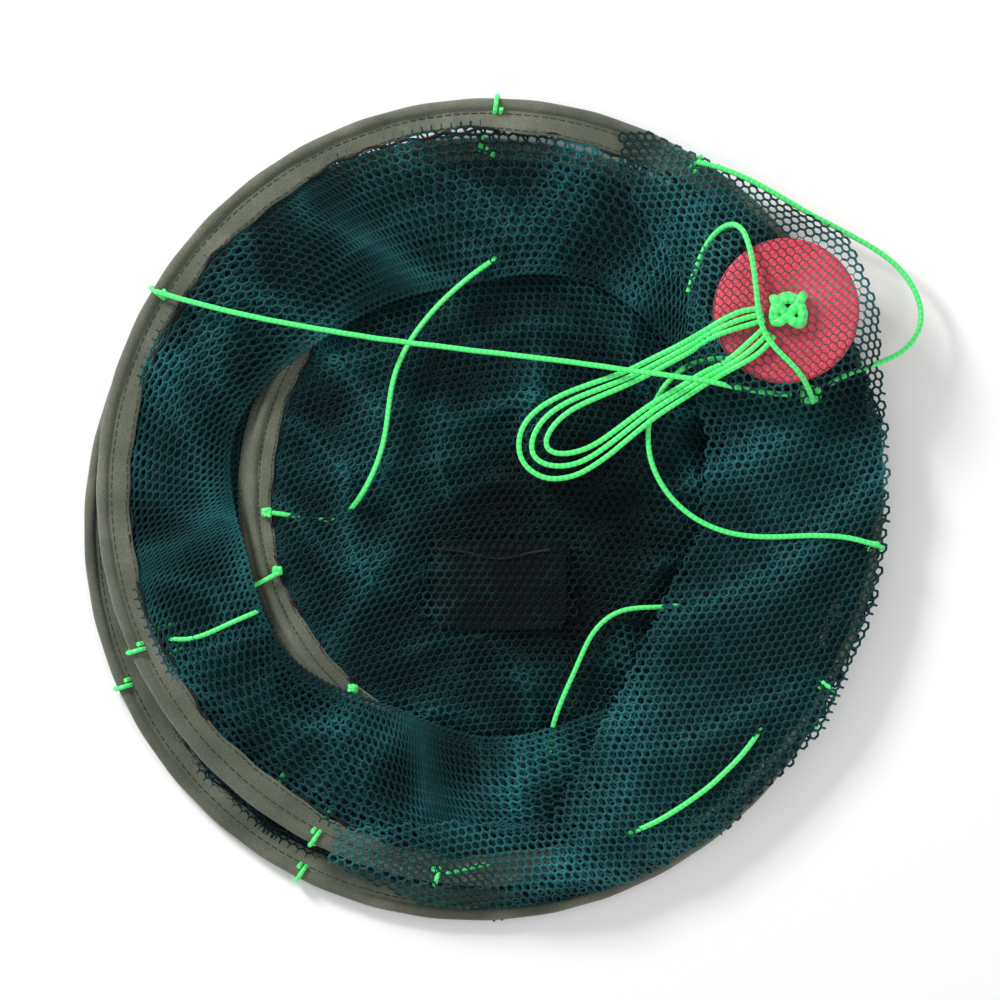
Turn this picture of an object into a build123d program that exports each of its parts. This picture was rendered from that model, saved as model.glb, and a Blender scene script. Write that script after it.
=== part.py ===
from build123d import *
import os
from math import cos, sin, radians

# Folding crab trap, folded flat: two large net hoops and a smaller floor hoop lie one on another.
# Millimetres, +Z up. The origin is the middle of the floor hoop, on the ground.

# ---- hoops ----
LARGE_R = 298.0  # wire centre line of the middle and the rim hoop
FLOOR_R = 214.0  # wire centre line of the floor hoop
WIRE_R = 2.5
GAP = 0.25  # clearance between pieces that lie close together
WIRE_GAP_DEG = 0.25  # where a wire's two ends meet
FERRULE_R = 3.5
FERRULE_BORE_R = 2.55
FERRULE_DEG = 6.0
FERRULE_AT_DEG = 115.0

# ---- cloth covers: a roll round the wire and a flat hem for the net ----
ROLL_R = 4.4
TUNNEL_R = 3.7
HEM_THICK = 2.4
LARGE_HEM = 20.0  # from the wire's centre line inwards
FLOOR_HEM = 15.0
FLOOR_FLANGE = 11.0  # the floor hoop's second hem, outwards

# ---- where the folded hoops lie ----
FLOOR_Z = 4.0
MIDDLE_AT = (-40.5, -27.0, 7.6)
RIM_AT = (-29.0, 1.5, 24.0)
FOLD_AT = (-35.0, -13.0)  # middle of the ring where the upper wall net folds

# ---- net ----
NET = 0.8
NET_EDGE_R = 288.0  # net panels stop here, inside the large hoops' rolls
FOLD_R = 200.0
LOWER_LEAF_Z = 12.4
UPPER_LEAF_Z = 18.4
LOWER_WALL_Z = 5.3
THROAT_Z = 25.4
THROAT_OPENING_R = 215.0
THROAT_OPENING_SHIFT = (-55.0, 10.0)

# ---- cord ----
BRIDLE_CORD_R = 2.0
STAY_CORD_R = 1.5
HITCH_RING_R = 6.05  # cord centre line round a cover's roll
HITCH_HOLE_R = 1.75
BRIDLE_ANGLES = (149.0, 58.0, -8.0, 262.0)
STAY_ANGLES = (89.0, 204.0, 243.0, 330.0)
LOWER_STAY_LAND_ANGLES = (84.0, 197.0, 232.0, 338.0)
STAY_LOW_Z = 10.3
STAY_TURN_R = 6.0
STAY_IN_R = 192.0
STAY_OUT_R = 274.0
STAY_ON_FLOOR_Z = 6.2
STAY_KNOT_R = 3.2
STAY_KNOT_AT_R = 202.5

# ---- float and haul line ----
FLOAT_AT = (196.0, 139.0)
FLOAT_R = 55.0
FLOAT_H = 30.0
FLOAT_Z = 31.5
FLOAT_BORE_R = 2.08
FLOAT_EDGE = 3.0
GATHER_AT = (216.0, 76.0, 36.0)
GATHER_KNOT_R = 9.0
TOP_KNOT_R = 16.0
TOP_KNOT_H = 9.0
BOTTOM_KNOT_R = 8.0
BOTTOM_KNOT_H = 4.2
HANK_DIR_DEG = 209.7
HANK_LENGTHS = (212.0, 222.0, 232.0)
HANK_HALF_WIDTHS = (17.0, 25.0, 33.0)
HANK_FAN_DEG = (6.5, 19.5, 32.5)
HANK_START_R = 18.5
HANK_TOP_Z = 65.6
HANK_LOW_Z = 34.4

# ---- bait pouch, sewn to the floor net along its front edge ----
POUCH_AT = (-22.0, -70.0)
POUCH_SIZE = (105.0, 70.0, 10.0)
POUCH_Z = 1.4
POUCH_SKIN = 1.0
POUCH_CORNER_R = 12.0
POUCH_SEAM = 7.0  # closed strip along the front edge
POUCH_MOUTH_INSET = 8.0  # the drawcord lies this far in from the mouth


def polar(centre, radius, angle, z):
    """A point at an angle on a circle round centre."""
    x = centre[0] + radius * cos(radians(angle))
    y = centre[1] + radius * sin(radians(angle))
    return (x, y, z)


def at_hoop(place, shape):
    return Pos(place[0], place[1], 0) * shape


def flat_ring(centre, outer_r, inner_r, z, inner_centre=None):
    """A net panel: a thin plate between two circles that may have different centres."""
    inner_centre = inner_centre or centre
    plate = Circle(outer_r)
    hole = Pos(inner_centre[0] - centre[0], inner_centre[1] - centre[1]) * Circle(inner_r)
    return Pos(centre[0], centre[1], z) * extrude(plate - hole, NET)


def skirt(centre, outer_r, z_low, z_high):
    """A net panel standing on edge round a circle."""
    wall = Circle(outer_r) - Circle(outer_r - NET)
    return Pos(centre[0], centre[1], z_low) * extrude(wall, z_high - z_low)


def cord(points, radius):
    """A round cord that runs smoothly through the points."""
    path = Spline(*points)
    return sweep(Plane(path @ 0, z_dir=path % 0) * Circle(radius), path=path)


def hoop_wire(radius, place, z):
    section = Plane.XZ * Pos(radius, z) * Circle(WIRE_R)
    wire = revolve(section, Axis.Z, revolution_arc=360 - WIRE_GAP_DEG)
    turn = FERRULE_AT_DEG + WIRE_GAP_DEG / 2
    return at_hoop(place, Rot(0, 0, turn) * wire)


def hoop_ferrule(radius, place, z):
    section = Plane.XZ * Pos(radius, z) * (Circle(FERRULE_R) - Circle(FERRULE_BORE_R))
    sleeve = revolve(section, Axis.Z, revolution_arc=FERRULE_DEG)
    return at_hoop(place, Rot(0, 0, FERRULE_AT_DEG - FERRULE_DEG / 2) * sleeve)


def hoop_cover(radius, place, z, hem, flange, hitch_angles, foot=False):
    """The sewn cloth tube round a hoop, with its hem and the holes that the hitches go through."""
    section = Circle(ROLL_R)
    section += Pos(-hem / 2, 0) * Rectangle(hem, HEM_THICK)
    if flange:
        section += Pos(flange / 2, 0) * Rectangle(flange, HEM_THICK)
    section -= Circle(TUNNEL_R)
    section = Pos(radius, z) * section
    if foot:
        below_ground = Pos(radius, -ROLL_R) * Rectangle(4 * ROLL_R, 2 * ROLL_R)
        section -= below_ground
    cover = revolve(Plane.XZ * section, Axis.Z)
    for angle in hitch_angles:
        hole = Pos(*polar((0, 0), radius - HITCH_RING_R, angle, z))
        cover -= hole * Cylinder(HITCH_HOLE_R, 4 * HEM_THICK)
    return at_hoop(place, cover)


def hitches(place, angles):
    """Turns of cord hitched round a large hoop's roll, one at each angle."""
    turns = []
    for angle in angles:
        ring = Pos(LARGE_R, 0, place[2]) * Rot(90, 0, 0) * Torus(HITCH_RING_R, STAY_CORD_R)
        turns.append(at_hoop(place, Rot(0, 0, angle) * ring))
    return Compound(turns)


# ---- net panels ----
def make_floor_net():
    """A round floor that lies on the ground and turns up to meet the floor hoop's hem."""
    edge_r = FLOOR_R - FLOOR_HEM - GAP
    floor = extrude(Circle(edge_r), NET)
    return floor + skirt((0, 0), edge_r, 0, FLOOR_Z + HEM_THICK / 2)


def make_lower_wall_net():
    """The gathered wall between the floor hoop and the middle hoop."""
    inner_r = FLOOR_R + ROLL_R + NET
    return flat_ring(MIDDLE_AT, NET_EDGE_R, inner_r, LOWER_WALL_Z, (0, 0))


def make_upper_wall_net():
    """The wall between the middle hoop and the rim, folded inwards as two leaves and a web."""
    lower = flat_ring(MIDDLE_AT, NET_EDGE_R, FOLD_R, LOWER_LEAF_Z, FOLD_AT)
    upper = flat_ring(RIM_AT, NET_EDGE_R, FOLD_R, UPPER_LEAF_Z, FOLD_AT)
    web = skirt(FOLD_AT, FOLD_R + NET, LOWER_LEAF_Z, UPPER_LEAF_Z + NET)
    hem_top = MIDDLE_AT[2] + HEM_THICK / 2
    hem_bottom = RIM_AT[2] - HEM_THICK / 2
    lower_edge = skirt(MIDDLE_AT, NET_EDGE_R, hem_top, LOWER_LEAF_Z + NET)
    upper_edge = skirt(RIM_AT, NET_EDGE_R, UPPER_LEAF_Z, hem_bottom)
    return lower + web + upper + lower_edge + upper_edge


def make_throat_net():
    """The collar over the rim that keeps the catch in, wide on the float's side."""
    opening = (RIM_AT[0] + THROAT_OPENING_SHIFT[0], RIM_AT[1] + THROAT_OPENING_SHIFT[1])
    return flat_ring(RIM_AT, NET_EDGE_R, THROAT_OPENING_R, THROAT_Z, opening)


# ---- stays: cords inside the trap that set how far the hoops part ----
def make_upper_stay(angle):
    """From the middle hoop's hem, round the folded wall net, to the rim's hem."""
    top_z = STAY_LOW_Z + 2 * STAY_TURN_R
    straight = (45, 25, 12, 5)
    low = [polar(FOLD_AT, STAY_IN_R + reach, angle, STAY_LOW_Z) for reach in straight]
    high = [polar(FOLD_AT, STAY_IN_R + reach, angle, top_z) for reach in reversed(straight)]
    turn = []
    for step in (0, 45, 90, 135, 180):
        inwards = STAY_TURN_R * sin(radians(step))
        up = STAY_TURN_R * (1 - cos(radians(step)))
        turn.append(polar(FOLD_AT, STAY_IN_R - inwards, angle, STAY_LOW_Z + up))
    start = polar(MIDDLE_AT, STAY_OUT_R, angle, STAY_LOW_Z)
    end = polar(RIM_AT, STAY_OUT_R, angle, top_z)
    return cord([start] + low + turn + high + [end], STAY_CORD_R)


def stay_knot_place(knot_angle):
    hem_top = FLOOR_Z + HEM_THICK / 2
    return polar((0, 0), STAY_KNOT_AT_R, knot_angle, hem_top + STAY_KNOT_R)


def make_stay_knots(knot_angles):
    """The knots that hold the stays' lower ends on the floor hoop's hem."""
    return Compound([Pos(*stay_knot_place(a)) * Sphere(STAY_KNOT_R) for a in knot_angles])


def make_lower_stay(knot_angle, slack, land_angle):
    """From its knot on the floor hoop's hem, slack over the floor net, to the middle hoop's hem."""
    knot = Vector(*stay_knot_place(knot_angle))
    towards = (Vector(*slack[0]) - knot).normalized()
    start = knot + towards * (STAY_KNOT_R + GAP)
    end = polar(MIDDLE_AT, STAY_OUT_R, land_angle, STAY_LOW_Z)
    return cord([start] + slack + [end], STAY_CORD_R)


LOWER_STAY_SLACK = (
    # knot angle, then the points the slack cord lies on
    (
        184.0,
        [
            (-186, -16, STAY_ON_FLOOR_Z + 0.2),
            (-148, -19, STAY_ON_FLOOR_Z),
            (-121, 12, STAY_ON_FLOOR_Z),
            (-110, 45, STAY_ON_FLOOR_Z),
            (-103, 90, STAY_ON_FLOOR_Z),
            (-70, 144, STAY_ON_FLOOR_Z),
            (-34, 175, STAY_ON_FLOOR_Z),
            (-14, 192, 8.2),
            (-8, 206, 10.3),
            (-9, 224, STAY_LOW_Z),
        ],
    ),
    (197.0, [(-200, -65, 10.8), (-213, -71, 10.6), (-246, -88, STAY_LOW_Z)]),
    (228.0, [(-140, -157, 10.8), (-148, -166, 10.6), (-180, -205, STAY_LOW_Z)]),
    (
        275.0,
        [
            (18, -184, STAY_ON_FLOOR_Z),
            (27, -156, STAY_ON_FLOOR_Z),
            (39, -129, STAY_ON_FLOOR_Z),
            (51, -105, STAY_ON_FLOOR_Z),
            (70, -90, STAY_ON_FLOOR_Z),
            (101, -87, STAY_ON_FLOOR_Z),
            (150, -86, STAY_ON_FLOOR_Z),
            (176, -98, STAY_LOW_Z),
            (195, -112, STAY_LOW_Z),
        ],
    ),
)


# ---- bridle: four legs from the rim to the gather knot ----
TIE_Z = RIM_AT[2] + HITCH_RING_R + STAY_CORD_R + BRIDLE_CORD_R + GAP
ON_THROAT_Z = THROAT_Z + NET + BRIDLE_CORD_R + GAP
BRIDLE_PATHS = (
    # straight across the folded trap, over everything else
    [
        (-60, 112, 38.5),
        (60, 97, 43),
        (100, 91, 48),
        (135, 86, 52),
        (165, 80, 48),
        (190, 76.5, 41),
        (203.5, 75.5, 38.5),
    ],
    # a slack loop that hangs out past the rim and comes back under the float's side
    [
        (158, 246, 31),
        (226, 210, 24),
        (268, 188, 20),
        (296, 160, 20),
        (302, 132, 24),
        (288, 110, 32),
        (262, 98, 35),
        (228.5, 82, 35),
    ],
    # down into the basket and round, under the hank
    [
        (226, -32, 34.6),
        (190, -33, 31),
        (150, -29, ON_THROAT_Z + 0.5),
        (116, -10, ON_THROAT_Z),
        (95, 22, ON_THROAT_Z),
        (94, 62, ON_THROAT_Z),
        (118, 96, ON_THROAT_Z),
        (158, 104, ON_THROAT_Z),
        (203, 82, ON_THROAT_Z),
    ],
    # round the front of the rim
    [
        (-20, -282, 31.8),
        (40, -272, ON_THROAT_Z + 1),
        (82, -258, ON_THROAT_Z + 0.5),
        (133, -228, ON_THROAT_Z + 0.5),
        (199, -148, ON_THROAT_Z + 0.5),
        (228, -55, ON_THROAT_Z + 0.5),
        (226, 15, ON_THROAT_Z + 0.5),
        (218, 63, ON_THROAT_Z + 3),
    ],
)


def make_bridle_cord(angle, path):
    return cord([polar(RIM_AT, LARGE_R, angle, TIE_Z)] + path, BRIDLE_CORD_R)


# ---- float, knots and haul line ----
def make_float():
    disc = Cylinder(FLOAT_R, FLOAT_H)
    disc = fillet(disc.edges(), FLOAT_EDGE)
    disc -= Cylinder(FLOAT_BORE_R, 2 * FLOAT_H)
    return Pos(FLOAT_AT[0], FLOAT_AT[1], FLOAT_Z + FLOAT_H / 2) * disc


def make_float_end_knots():
    """The haul line's end through the float, with a knot on each side that holds the float."""
    top_z = FLOAT_Z + FLOAT_H + GAP
    bottom_z = FLOAT_Z - GAP
    top = Pos(0, 0, top_z + TOP_KNOT_H / 2) * Cylinder(TOP_KNOT_R, TOP_KNOT_H)
    top = fillet(top.edges(), TOP_KNOT_H * 0.4)
    bottom = Pos(0, 0, bottom_z - BOTTOM_KNOT_H / 2) * Cylinder(BOTTOM_KNOT_R, BOTTOM_KNOT_H)
    bottom = fillet(bottom.edges(), BOTTOM_KNOT_H * 0.4)
    length = top_z - bottom_z + BOTTOM_KNOT_H
    line = Pos(0, 0, (top_z + bottom_z) / 2) * Cylinder(BRIDLE_CORD_R, length)
    return Pos(FLOAT_AT[0], FLOAT_AT[1], 0) * (top + bottom + line)


def make_gather_knot():
    return Pos(*GATHER_AT) * Sphere(GATHER_KNOT_R)


def make_haul_line():
    """The line's start: up from the gather knot, over the float and down on its far side."""
    over_z = HANK_TOP_Z + 6
    points = [
        (216, 70, 48.5),
        (213, 77, 62),
        (204, 92, over_z),
        (178, 120, over_z),
        (172, 149, over_z),
        (167, 186, over_z - 4),
        (158, 205, 58),
        (143, 200, 44),
        (128, 172, 38),
        (121, 150, 38),
    ]
    return cord(points, BRIDLE_CORD_R)


def hank_point(along, aside, z):
    """A point in the hank's own directions, from the float's middle."""
    u = (cos(radians(HANK_DIR_DEG)), sin(radians(HANK_DIR_DEG)))
    x = FLOAT_AT[0] + along * u[0] + aside * u[1]
    y = FLOAT_AT[1] + along * u[1] - aside * u[0]
    return (x, y, z)


def hank_loop(length, half_width, fan):
    """One loop: out from the float's top knot, round the far end, and back."""
    cos_fan, sin_fan = cos(radians(fan)), sin(radians(fan))
    side = [
        (HANK_START_R * cos_fan, HANK_START_R * sin_fan, HANK_TOP_Z),
        (40, 10 * half_width / 33 + 15 * sin_fan, HANK_TOP_Z + 1),
        (59, 0.45 * half_width + 3, 64),
        (71, 0.5 * half_width + 1, 50),
        (83, 0.55 * half_width, 37.5),
        (98, 0.57 * half_width, HANK_LOW_Z),
        (125, 0.62 * half_width, HANK_LOW_Z),
        (length - 45, 0.9 * half_width, HANK_LOW_Z),
        (length - 15, 0.72 * half_width, HANK_LOW_Z),
    ]
    out = [hank_point(a, s, z) for a, s, z in side]
    back = [hank_point(a, -s, z) for a, s, z in reversed(side)]
    return cord(out + [hank_point(length, 0, HANK_LOW_Z)] + back, BRIDLE_CORD_R)


def make_hank():
    loops = zip(HANK_LENGTHS, HANK_HALF_WIDTHS, HANK_FAN_DEG)
    return Compound([hank_loop(*loop) for loop in loops])


# ---- bait pouch ----
def make_bait_pouch():
    """A flat pouch, open along its back edge."""
    length, width, height = POUCH_SIZE
    body = Box(length, width, height)
    body = fillet(body.edges().filter_by(Axis.Z), POUCH_CORNER_R)
    hollow = Box(length - 2 * POUCH_SKIN, width, height - 2 * POUCH_SKIN)
    body -= Pos(0, POUCH_SEAM, 0) * hollow
    return Pos(POUCH_AT[0], POUCH_AT[1], POUCH_Z + height / 2) * body


def make_bait_drawcord():
    """The cord that closes the pouch's mouth, tied in a small bow on its top."""
    top_z = POUCH_Z + POUCH_SIZE[2] + STAY_CORD_R + GAP
    mouth_y = POUCH_AT[1] + POUCH_SIZE[1] / 2 - POUCH_MOUTH_INSET
    xs = (-44, -20, 0, 20, 44)
    ys = (0, -3, -7, -3, 0)
    points = [(POUCH_AT[0] + x, mouth_y + y, top_z) for x, y in zip(xs, ys)]
    return cord(points, STAY_CORD_R)


HOOPS = {
    "floor": (FLOOR_R, (0, 0, FLOOR_Z)),
    "middle": (LARGE_R, MIDDLE_AT),
    "rim": (LARGE_R, RIM_AT),
}


def make_nodes():
    nodes = {}
    for name, (radius, place) in HOOPS.items():
        nodes[f"{name}_hoop_wire"] = hoop_wire(radius, place, place[2])
        nodes[f"{name}_hoop_ferrule"] = hoop_ferrule(radius, place, place[2])
    floor_place = HOOPS["floor"][1]
    nodes["floor_hoop_cover"] = hoop_cover(
        FLOOR_R, floor_place, FLOOR_Z, FLOOR_HEM, FLOOR_FLANGE, (), foot=True
    )
    nodes["middle_hoop_cover"] = hoop_cover(
        LARGE_R, MIDDLE_AT, MIDDLE_AT[2], LARGE_HEM, 0, STAY_ANGLES
    )
    nodes["rim_hoop_cover"] = hoop_cover(
        LARGE_R, RIM_AT, RIM_AT[2], LARGE_HEM, 0, STAY_ANGLES + BRIDLE_ANGLES
    )
    nodes["middle_stay_hitches"] = hitches(MIDDLE_AT, STAY_ANGLES)
    nodes["rim_stay_hitches"] = hitches(RIM_AT, STAY_ANGLES)
    nodes["rim_bridle_hitches"] = hitches(RIM_AT, BRIDLE_ANGLES)
    nodes["floor_net"] = make_floor_net()
    nodes["lower_wall_net"] = make_lower_wall_net()
    nodes["upper_wall_net"] = make_upper_wall_net()
    nodes["throat_net"] = make_throat_net()
    nodes["floor_stay_knots"] = make_stay_knots([stay[0] for stay in LOWER_STAY_SLACK])
    for i, angle in enumerate(STAY_ANGLES):
        knot_angle, slack = LOWER_STAY_SLACK[i]
        nodes[f"upper_stay_{i + 1}"] = make_upper_stay(angle)
        nodes[f"lower_stay_{i + 1}"] = make_lower_stay(
            knot_angle, slack, LOWER_STAY_LAND_ANGLES[i]
        )
    for i, angle in enumerate(BRIDLE_ANGLES):
        nodes[f"bridle_cord_{i + 1}"] = make_bridle_cord(angle, BRIDLE_PATHS[i])
    nodes["float"] = make_float()
    nodes["float_end_knots"] = make_float_end_knots()
    nodes["gather_knot"] = make_gather_knot()
    nodes["haul_line"] = make_haul_line()
    nodes["haul_line_hank"] = make_hank()
    nodes["bait_pouch"] = make_bait_pouch()
    nodes["bait_pouch_drawcord"] = make_bait_drawcord()
    return nodes


os.makedirs("parts", exist_ok=True)
for node, shape in make_nodes().items():
    export_step(shape, f"parts/{node}.step")
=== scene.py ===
import heapq
import math

import bmesh
import bpy
import numpy as np
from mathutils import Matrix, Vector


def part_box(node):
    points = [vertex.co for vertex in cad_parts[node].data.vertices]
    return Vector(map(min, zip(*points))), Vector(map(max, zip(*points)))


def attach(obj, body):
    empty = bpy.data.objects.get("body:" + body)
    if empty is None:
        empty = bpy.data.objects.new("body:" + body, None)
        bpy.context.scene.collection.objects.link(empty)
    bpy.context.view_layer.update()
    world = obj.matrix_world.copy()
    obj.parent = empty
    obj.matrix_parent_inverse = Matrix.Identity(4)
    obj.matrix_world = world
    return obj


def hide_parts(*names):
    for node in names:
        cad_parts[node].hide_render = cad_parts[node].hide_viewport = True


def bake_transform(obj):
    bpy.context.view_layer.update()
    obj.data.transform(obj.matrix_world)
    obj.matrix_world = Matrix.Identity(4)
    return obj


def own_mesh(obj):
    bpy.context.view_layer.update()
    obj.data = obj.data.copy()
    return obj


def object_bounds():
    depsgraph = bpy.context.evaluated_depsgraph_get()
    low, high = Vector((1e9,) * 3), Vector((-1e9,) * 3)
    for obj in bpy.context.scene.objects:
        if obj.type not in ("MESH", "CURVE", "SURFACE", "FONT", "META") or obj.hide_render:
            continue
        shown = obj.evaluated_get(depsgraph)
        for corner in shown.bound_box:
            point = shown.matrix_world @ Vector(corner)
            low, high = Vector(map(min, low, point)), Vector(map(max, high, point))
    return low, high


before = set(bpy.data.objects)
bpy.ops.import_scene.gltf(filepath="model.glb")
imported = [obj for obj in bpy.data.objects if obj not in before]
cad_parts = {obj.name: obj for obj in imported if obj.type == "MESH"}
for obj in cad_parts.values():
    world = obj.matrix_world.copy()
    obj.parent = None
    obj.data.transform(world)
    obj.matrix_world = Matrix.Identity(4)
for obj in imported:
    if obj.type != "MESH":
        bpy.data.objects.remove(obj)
CAD_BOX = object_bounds()

MM = 0.001
TAU = 2 * math.pi

# ---- net ----
MESH_PITCH = 6.6 * MM  # across a cell's flats
STRAND_R = 1.0 * MM

# ---- cord ----
CORD_SIDES = 10
CORD_STEP = 1.5 * MM
BRAID_LENGTH = 9.0 * MM
BRAID_RELIEF = 0.07
KNOT_RELIEF = 0.06
BRIDLE_R = 2.1 * MM
STAY_R = 1.9 * MM
DRAWCORD_R = 1.2 * MM
UPWARDS = (0.0, 0.0, 1.0)  # the way the stays and the bridle are pulled
END_REACH = 4.5 * MM  # what counts as a cord's end when its mesh is walked
STRETCH = 6 * MM  # how much of the cord is averaged into each point of its middle line

# ---- hoop covers ----
WIRE_R = 2.5 * MM
ROLL_R = 4.4 * MM
LARGE_HEM = 20 * MM
FLOOR_HEM = 15 * MM
FLOOR_FLANGE = 10 * MM
HEM_HALF_THICK = 0.9 * MM
TAPE_WAVE = 0.17  # how far the hem wanders, as a share of its width
TAPE_LIFT = 2.4 * MM
NET_AT_HEM = 12 * MM  # the wall nets end this far inside the wires

# ---- how high the folds stand ----
FLOOR_RELIEF = 19 * MM
LOWER_WALL_RELIEF = 5 * MM
UPPER_WALL_RELIEF = 12 * MM
THROAT_RELIEF = 11 * MM

# ---- how far the panels reach ----
FLOOR_NET_INSET = 14 * MM
FOLD_INSET = 104 * MM  # from the wires' radius in to the folded wall's inner edge
LOWER_WALL_RUN = 150 * MM
UPPER_WALL_RUN = 196 * MM
SLACK_RUN = 92 * MM
LOWER_WALL_MEAN_R = 255 * MM
UPPER_WALL_MEAN_R = 248 * MM
SLACK_MEAN_R = 246 * MM


# ======== places, read from the frame ========
def centre_of(node):
    low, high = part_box(node)
    return np.array((low + high) / 2)


def radius_of(node):
    low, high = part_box(node)
    return (high[0] - low[0]) / 2


FLOOR = centre_of("floor_hoop_wire")
MIDDLE = centre_of("middle_hoop_wire")
RIM = centre_of("rim_hoop_wire")
LARGE_R = radius_of("rim_hoop_wire") - WIRE_R
FLOOR_R = radius_of("floor_hoop_wire") - WIRE_R
FLOAT = centre_of("float")
FLOAT_R = radius_of("float")
FLOAT_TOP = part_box("float")[1][2]
FOLD = (MIDDLE + RIM) / 2
POUCH_LOW, POUCH_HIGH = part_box("bait_pouch")


def hoop_angle(centre, xyz):
    return np.arctan2(xyz[..., 1] - centre[1], xyz[..., 0] - centre[0])


def smooth(t):
    t = np.clip(t, 0, 1)
    return t * t * (3 - 2 * t)


# ======== wrinkles ========
class Wrinkles:
    """Soft folds over a plane: a few warped ridges in seeded directions, from 0 to 1."""

    def __init__(self, seed, lengths, count=7):
        rng = np.random.RandomState(seed)
        self.angle = rng.uniform(0, math.pi, count)
        self.length = rng.uniform(lengths[0], lengths[1], count)
        self.phase = rng.uniform(0, TAU, (count, 3))
        self.weight = rng.uniform(0.5, 1.0, count)

    def __call__(self, x, y):
        total = np.zeros_like(x)
        for a, length, phase, weight in zip(self.angle, self.length, self.phase, self.weight):
            along = x * math.cos(a) + y * math.sin(a)
            across = y * math.cos(a) - x * math.sin(a)
            bend = 0.35 * length * np.sin(TAU * across / (3.1 * length) + phase[0])
            ridge = 1 - np.abs(np.sin(math.pi * (along + bend) / length + phase[1]))
            patch = 0.5 + 0.5 * np.sin(TAU * across / (2.3 * length) + phase[2])
            total += weight * patch * ridge**2
        return total / self.weight.sum() * 1.9


FLOOR_FOLDS = Wrinkles(11, (55 * MM, 120 * MM))
WALL_FOLDS = Wrinkles(23, (60 * MM, 150 * MM))
THROAT_FOLDS = Wrinkles(37, (70 * MM, 190 * MM))
EDGE_FOLDS = Wrinkles(5, (30 * MM, 70 * MM))


# ======== meshes ========
def new_mesh(name, points, faces, material, smooth_faces=True):
    mesh = bpy.data.meshes.new(name)
    mesh.from_pydata([tuple(p) for p in points], [], [tuple(f) for f in faces])
    mesh.materials.append(material)
    mesh.polygons.foreach_set("use_smooth", [smooth_faces] * len(mesh.polygons))
    mesh.update()
    ob = bpy.data.objects.new(name, mesh)
    bpy.context.scene.collection.objects.link(ob)
    return ob


def add_values(ob, name, values):
    """A number on every vertex, for a material to read."""
    attribute = ob.data.attributes.new(name, "FLOAT", "POINT")
    attribute.data.foreach_set("value", np.asarray(values, np.float32))


def blend_by(ob, weights):
    """A piece between two bodies: its place is baked into its mesh."""
    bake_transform(ob)


def honeycomb(width, height, pitch, wrap):
    """Corners and sides of a honeycomb. With wrap its left and right edges are one."""
    side = pitch / math.sqrt(3)
    columns = int(round(width / pitch))
    rows = int(height / (1.5 * side)) + 1
    first = 0 if wrap else -rows // 2
    last = columns if wrap else columns + 1
    index, points, edges = {}, [], []

    def corner(i, j, kind):
        key = (i % columns if wrap else i, j, kind)
        if key not in index:
            index[key] = len(points)
            points.append(((key[0] + j / 2) * pitch, j * 1.5 * side + kind * side))
        return index[key]

    for j in range(rows):
        for i in range(first, last):
            top = corner(i, j, 1)
            edges.append((corner(i, j, 0), top))
            if j + 1 < rows:
                edges.append((top, corner(i, j + 1, 0)))
                edges.append((top, corner(i - 1, j + 1, 0)))
    return np.array(points), np.array(edges)


def strands(name, corners, edges, material, radius=STRAND_R, folds=None):
    """A net: one thin three-sided strand along every edge. Returns the piece and each vertex's corner."""
    a, b = corners[edges[:, 0]], corners[edges[:, 1]]
    d = b - a
    d /= np.maximum(np.linalg.norm(d, axis=1, keepdims=True), 1e-9)
    side = np.cross(d, (0.0, 0.0, 1.0))
    flat = np.linalg.norm(side, axis=1) < 1e-3
    side[flat] = (1, 0, 0)
    side /= np.linalg.norm(side, axis=1, keepdims=True)
    up = np.cross(side, d)
    spokes = [up * 0.75, side * 0.95 - up * 0.45, -side * 0.95 - up * 0.45]
    over = d * radius * 0.4
    rings = [end + s * radius for end in (a - over, b + over) for s in spokes]
    points = np.stack(rings, axis=1).reshape(-1, 3)
    base = (np.arange(len(edges)) * 6)[:, None]
    quads = [base + q for q in ((0, 1, 4, 3), (1, 2, 5, 4), (2, 0, 3, 5))]
    caps = [base + c for c in ((2, 1, 0), (3, 4, 5))]
    faces = list(np.concatenate(quads)) + list(np.concatenate(caps))
    ob = new_mesh(name, points, faces, material, smooth_faces=False)
    owner = np.repeat(edges, 3, axis=1).reshape(-1)
    # Each vertex carries the height of its fold, which a net material turns into painted shade in the
    # hollows and painted light on the crests.
    if folds is not None:
        add_values(ob, "fold_shade", folds[owner])
    return ob, owner


def grid(name, points, material, wrap_u=False, wrap_v=False):
    """A surface from a rows x columns x 3 array."""
    rows, columns = points.shape[:2]
    faces = []
    for r in range(rows if wrap_v else rows - 1):
        for c in range(columns if wrap_u else columns - 1):
            r1, c1 = (r + 1) % rows, (c + 1) % columns
            faces.append((r * columns + c, r * columns + c1, r1 * columns + c1, r1 * columns + c))
    return new_mesh(name, points.reshape(-1, 3), faces, material)


# ======== materials ========
def node_material(name, roughness, sheen=0.0):
    material = bpy.data.materials.new(name)
    material.use_nodes = True
    tree = material.node_tree
    shader = tree.nodes["Principled BSDF"]
    shader.inputs["Roughness"].default_value = roughness
    shader.inputs["Sheen Weight"].default_value = sheen
    return material, tree, shader


def texture(tree, kind, scale, **settings):
    node = tree.nodes.new(kind)
    where = tree.nodes.new("ShaderNodeTexCoord")
    tree.links.new(where.outputs["Object"], node.inputs["Vector"])
    node.inputs["Scale"].default_value = scale
    for key, value in settings.items():
        if key in node.inputs:
            node.inputs[key].default_value = value
        else:
            setattr(node, key, value)
    return node


def ramp(tree, source, stops):
    node = tree.nodes.new("ShaderNodeValToRGB")
    elements = node.color_ramp.elements
    while len(elements) < len(stops):
        elements.new(0.5)
    for element, (place, color) in zip(elements, stops):
        element.position = place
        element.color = (*color, 1)
    tree.links.new(source, node.inputs["Fac"])
    return node.outputs["Color"]


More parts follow.
